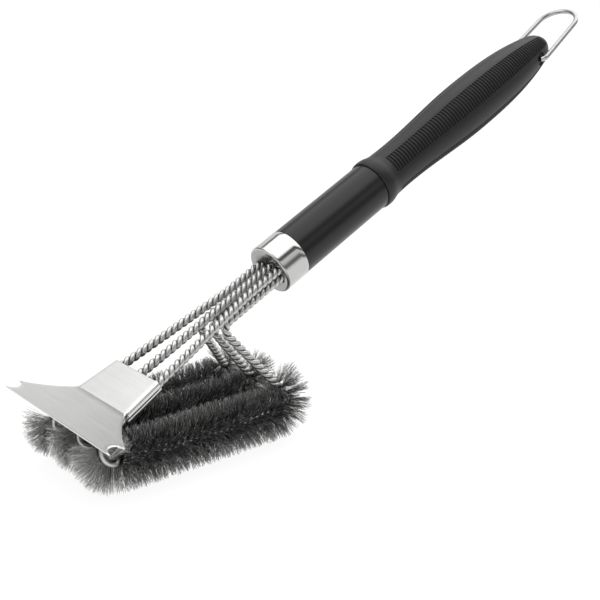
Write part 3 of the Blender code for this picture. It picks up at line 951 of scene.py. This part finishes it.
# %% Tube and plug
def tube_mesh():
    """The black tube, with its edges broken by 0.25 mm."""
    start, end, outer, wall, cut = 15.0 * MM, 86.5 * MM, 15.0 * MM, 0.8 * MM, 0.25 * MM
    outline = [(start, outer - cut), (start + cut, outer), (start + 20 * MM, outer),
               (end - 20 * MM, outer), (end - cut, outer), (end, outer - cut),
               (end, outer - wall), (start, outer - wall)]
    return mesh_of("tube", loft([ring(t, r, 96) for t, r in outline], closed_loft=True))


finished("black_tube", tube_mesh(), ["handle_tube"], TUBE_COAT)
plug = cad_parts["anchor_plug"]
plug.data.materials.clear()
plug.data.materials.append(PLUG_PLASTIC)
print("plug keeps its CAD shape")

# %% [markdown]
# ## Grip
# The grip is a moulded body with a collar, a slim neck, a belly and a round tip. Four panels run
# along its diagonals. Each is sunk by 0.7 mm and filled with cross ribs, whose crests stand just
# above the smooth faces. The body is one loft from the bottom of its hollow, out over the collar
# and up to the tip. Its columns crowd together at the panels' edges, where the surface steps down.
# Boolean cutters drill the sockets of the wire loop.

# %% Grip surface
NECK_T = 110 * MM
NECK_R = 14.25 * MM
BELLY_T = 187 * MM
BELLY_R = 17.6 * MM
DOME_T = 262 * MM
HINGE_T = 252.5 * MM
PANEL_HALF = math.radians(23)
PANEL_START = 100.5 * MM
PANEL_END = 266 * MM
PANEL_DEPTH = 0.70 * MM


def grip_radius(t):
    """Outer radius of the grip behind its collar."""
    if t < NECK_T:
        return NECK_R + 0.25 * MM * ((NECK_T - t) / (10 * MM)) ** 2
    if t < BELLY_T:
        swing = (1 - math.cos(math.pi * (t - NECK_T) / (BELLY_T - NECK_T))) / 2
        return NECK_R + (BELLY_R - NECK_R) * swing
    radius = BELLY_R - 1.0 * MM * ((t - BELLY_T) / (36 * MM)) ** 2.6
    if t > DOME_T:
        radius *= math.sqrt(max(0.0, 1 - ((t - DOME_T) / (TIP_T - DOME_T)) ** 2))
    return radius


def grip_angles():
    """Angles round the grip, with extra columns at the panels' edges."""
    step = math.radians(3.8)
    angles = []
    for quarter in range(4):
        middle = math.pi / 4 + quarter * math.pi / 2
        for offset in range(-11, 12):
            near = middle + offset * step
            if abs(abs(near - middle) - PANEL_HALF) > math.radians(1.6):
                angles.append(near)
        for sign in (-1, 1):
            for edge in (-0.9, -0.35, 0.35, 0.9):
                angles.append(middle + sign * (PANEL_HALF + math.radians(edge)))
    return sorted(angles)


def panel_share(a, t):
    """1 inside a panel, 0 outside it, with a steep flank."""
    if not PANEL_START < t < PANEL_END:
        return 0.0
    off = abs(a % (math.pi / 2) - math.pi / 4)
    return min(1.0, max(0.0, (PANEL_HALF + math.radians(0.35) - off) / math.radians(0.7)))


def grip_ring(t, radius, sunk=False):
    """A ring of the grip, pushed in at the panels where asked."""
    depth = PANEL_DEPTH if sunk else 0.0
    return ring(t, lambda a: radius - depth * panel_share(a, t), grip_angles())


def grip_skin():
    """Hollow, collar, ribbed body and tip as one closed skin."""
    plain = [(240.0, 6.3), (235.0, 10.3), (60.0, 10.3), (60.0, 13.9), (86.8, 13.9), (86.8, 15.35),
             (87.15, 15.75), (88.0, 16.02), (89.8, 16.15), (92.0, 16.05), (93.8, 15.72),
             (95.2, 15.3), (96.4, 15.0)]
    steps = [99.3 * MM, PANEL_START - 0.15 * MM, PANEL_START + 0.15 * MM]
    steps += [102 * MM + 2 * MM * k for k in range(80)]
    steps += [DOME_T + (TIP_T - DOME_T) * math.sin(math.pi / 2 * k / 14) for k in range(1, 14)]
    rings = [grip_ring(246 * MM, 0.0), *[grip_ring(t * MM, r * MM) for t, r in plain],
             *[grip_ring(t, grip_radius(t), True) for t in steps], grip_ring(TIP_T, 0.0)]
    return mesh_of("grip_body", loft(rings), 60.0)


def socket_cutter(radius, near, far):
    """A round cutter across the handle at the hinge."""
    turns = [math.tau * k / 32 for k in range(32)]
    bm = loft([[on_handle(HINGE_T + radius * math.cos(a), y, radius * math.sin(a))
                for a in turns] for y in (near, far)])
    bmesh.ops.holes_fill(bm, edges=[e for e in bm.edges if e.is_boundary])
    return linked("socket_cutter", mesh_of("socket_cutter", bm))


def grip_mesh():
    """The grip's skin with the loop's sockets cut."""
    item = linked("grip_body", grip_skin())
    cutters = []
    for side in (1, -1):
        for radius, inner in ((2.0 * MM, 7.9 * MM), (4.5 * MM, 11.3 * MM)):
            cutters.append(socket_cutter(radius, inner * side, 30 * MM * side))
            cut = item.modifiers.new("socket", "BOOLEAN")
            cut.operation = "DIFFERENCE"
            cut.solver = "EXACT"
            cut.object = cutters[-1]
    mesh = baked(item, "grip")
    for cutter in cutters:
        bpy.data.objects.remove(cutter, do_unlink=True)
    return smoothed(mesh, 38)


finished("grip_body", grip_mesh(), ["grip"], GRIP_PLASTIC)

# %% [markdown]
# ### Ribs
# The ribs repeat every 2.4 mm, so a tree grows them from a line that holds the grip's outline in
# one panel: its height over the axis is the grip's radius. Each resampled point becomes an arc of
# that radius, centred on the axis, and a round section is swept along it. The tree works lying
# along X, and the finished mesh is then turned onto the handle.

# %% Rib tree
RIB_PITCH = 2.4 * MM
RIB_WIDTH = 1.25 * MM
RIB_SUNK = 0.54 * MM                    # how far the rib's middle lies below the smooth face


def rib_tree():
    """One arc across the panel at every step of the outline."""
    tree, given = geometry_tree("cross_ribs", "Pitch", "Width", "Half Angle")
    steps = stepped_line(tree, given, given("Pitch"))
    dots = node(tree, "GeometryNodeCurveToPoints", {"mode": "EVALUATED"}, {"Curve": steps})
    dots = stored(tree, dots, "radius_here", here(tree).axis(2))
    on_axis = node(tree, "ShaderNodeCombineXYZ", None, {0: here(tree).axis(0)})
    dots = node(tree, "GeometryNodeSetPosition", None, {"Geometry": dots, "Position": on_axis})
    arc = node(tree, "GeometryNodeCurveArc", {"mode": "RADIUS"},
               {"Resolution": 12, "Radius": 1.0, "Start Angle": given("Half Angle") * -1.0,
                "Sweep Angle": given("Half Angle") * 2.0})
    arc = node(tree, "GeometryNodeTransform", None,
               {"Geometry": arc, "Rotation": (0.0, -math.pi / 2, 0.0)})
    arcs = node(tree, "GeometryNodeInstanceOnPoints", None,
                {"Points": dots, "Instance": arc, "Scale": recalled(tree, "radius_here")})
    arcs = node(tree, "GeometryNodeRealizeInstances", None, {"Geometry": arcs})
    return close_tree(tree, given, swept(tree, arcs, 8, given("Width") / 2))


def rib_panel(tree, quarter):
    """All the ribs of one panel, on the handle."""
    outline = []
    for k in range(56):
        t = PANEL_START + 1.2 * MM + (PANEL_END - PANEL_START - 2.4 * MM) * k / 55
        outline.append(Vector((t, 0.0, grip_radius(t) - RIB_SUNK)))
    mesh = grown("ribs", tree, outline, {
        "Pitch": RIB_PITCH, "Width": RIB_WIDTH, "Half Angle": PANEL_HALF + math.radians(0.2),
        "Material": GRIP_PLASTIC})
    mesh.transform(HANDLE @ Matrix.Rotation(math.pi / 4 + quarter * math.pi / 2, 4, "X"))
    return mesh


CROSS_RIBS = rib_tree()
for quarter, label in enumerate(("upper_left", "upper_right", "lower_right", "lower_left"), -1):
    finished("ribs_" + label, rib_panel(CROSS_RIBS, quarter), [])

# %% [markdown]
# ## Hanging loop
# The loop is one bent wire whose feet turn inwards into sockets at the grip's tip. It is the only
# piece that moves, so it rides on its own body. Its outline is drawn flat in the loop's own frame:
# foot, bend, leg, bow, and the same again mirrored.

# %% Loop
LOOP_RISE = math.radians(8.9)
LOOP_HALF = 15.3 * MM
LOOP_ARC = 14.1 * MM
LOOP_LENGTH = 52.6 * MM
FOOT_IN = 8.2 * MM
LOOP_WIRE = 3.4 * MM


def loop_tree():
    """A round section swept along a line."""
    tree, given = geometry_tree("round_wire", "Wire")
    line = stepped_line(tree, given, 0.6 * MM)
    return close_tree(tree, given, swept(tree, line, 20, given("Wire") / 2))


def loop_route():
    """The loop's centre line in the room."""
    arc_x = LOOP_LENGTH - LOOP_ARC
    inner = Vector((0.0, FOOT_IN, 0.0))
    corner = Vector((0.0, LOOP_HALF, 0.0))
    leg_end = Vector((arc_x, LOOP_ARC, 0.0))
    half = [inner, *fillet(inner, corner, leg_end, 2.8 * MM)]
    bow = [Vector((arc_x + LOOP_ARC * math.sin(math.pi * k / 40),
                   LOOP_ARC * math.cos(math.pi * k / 40), 0.0)) for k in range(41)]
    mirrored = [Vector((p.x, -p.y, 0.0)) for p in reversed(half)]
    turned = Matrix.Rotation(-(HANDLE_TILT + LOOP_RISE), 4, "Y")
    placed = Matrix.Translation(on_handle(HINGE_T, 0.0, 0.0)) @ turned
    return [placed @ p for p in half + bow + mirrored]


loop = grown("wire_loop", loop_tree(), loop_route(), {"Wire": LOOP_WIRE, "Material": LOOP_STEEL})
finished("wire_loop", loop, ["hang_loop"], body="hang_loop")

# %% [markdown]
# ## Floor and light
# A white floor runs far behind the brush. Two large soft lights do most of the work: one from above
# for the broad highlights, one from the camera's left for the edges. The surroundings are white
# where the camera sees them, and have darker bands in reflections, since bare metal only looks
# like metal when it has something dark to mirror.

# %% Studio
FLOOR_HALF = 12.0
FLOOR_Z = -0.2 * MM
HEAD_PLACE = Vector((0.05, 0.0, 0.1))


def floor():
    """A pale floor that is part of the studio."""
    made, tree, shader = material("studio_floor", Roughness=0.9)
    shader.inputs["Base Color"].default_value = (0.09, 0.09, 0.09, 1.0)
    shader.inputs["Emission Color"].default_value = (1.0, 1.0, 1.0, 1.0)
    shader.inputs["Emission Strength"].default_value = 0.92
    bm = bmesh.new()
    bm.faces.new([bm.verts.new((x * FLOOR_HALF, y * FLOOR_HALF, FLOOR_Z))
                  for x, y in ((-1, -1), (1, -1), (1, 1), (-1, 1))])
    mesh = bpy.data.meshes.new("studio_floor")
    bm.to_mesh(mesh)
    bm.free()
    mesh.materials.append(made)
    linked("studio_floor", mesh)


def soft_light(name, place, size, power):
    """A square soft light that faces the brush's head."""
    lamp = bpy.data.lights.new(name, "AREA")
    lamp.shape = "RECTANGLE"
    lamp.size = lamp.size_y = size
    lamp.energy = power
    item = linked(name, lamp)
    item.location = place
    item.rotation_euler = (HEAD_PLACE - place).to_track_quat("-Z", "Y").to_euler()


def surroundings():
    """White for the camera, banded for reflections."""
    world = bpy.data.worlds.new("studio")
    world.use_nodes = True
    tree = world.node_tree
    tree.nodes.clear()
    direction = node(tree, "ShaderNodeTexCoord", output="Generated")
    x, y, z = (direction.axis(k) for k in range(3))
    sweep = z.math("ARCTAN2", y) / math.pi
    far_side = [(0.0, 0.50), (0.19, 0.51), (0.207, 0.05), (0.245, 0.05), (0.262, 0.95),
                (0.30, 1.0)]
    open_side = [(0.0, 0.40), (0.05, 0.06), (0.12, 0.06), (0.165, 0.50), (0.215, 0.60),
                 (0.245, 0.74), (0.27, 1.0), (0.30, 1.0)]
    near_side = [(0.67, 1.0), (0.695, 0.04), (0.76, 0.06), (0.78, 0.50), (0.85, 0.40),
                 (0.885, 0.10), (0.95, 0.10), (0.97, 0.45), (1.0, 0.45)]
    striped = grey_ramp(tree, sweep, far_side + near_side)
    clear = grey_ramp(tree, sweep, open_side + near_side)
    ahead = eased(tree, x, 0.04, 0.13)
    behind = eased(tree, x, -0.17, -0.05, 0.5)
    bands = (striped * ahead + clear * (1 - ahead)) * behind
    soft = node(tree, "ShaderNodeBackground", None, {"Color": bands, "Strength": 1.9})
    plain = node(tree, "ShaderNodeBackground", None, {"Color": (1, 1, 1, 1), "Strength": 1.0})
    seen = node(tree, "ShaderNodeLightPath", output="Is Camera Ray")
    mixed = node(tree, "ShaderNodeMixShader", None, {0: seen, 1: soft, 2: plain})
    out = tree.nodes.new("ShaderNodeOutputWorld")
    tree.links.new(mixed.socket, out.inputs["Surface"])
    bpy.context.scene.world = world


floor()
surroundings()
soft_light("key_light", Vector((-0.55, 0.25, 1.1)), 0.9, 3.0)
soft_light("fill_light", Vector((-0.9, -0.9, 0.7)), 0.8, 1.0)
print("studio ready")
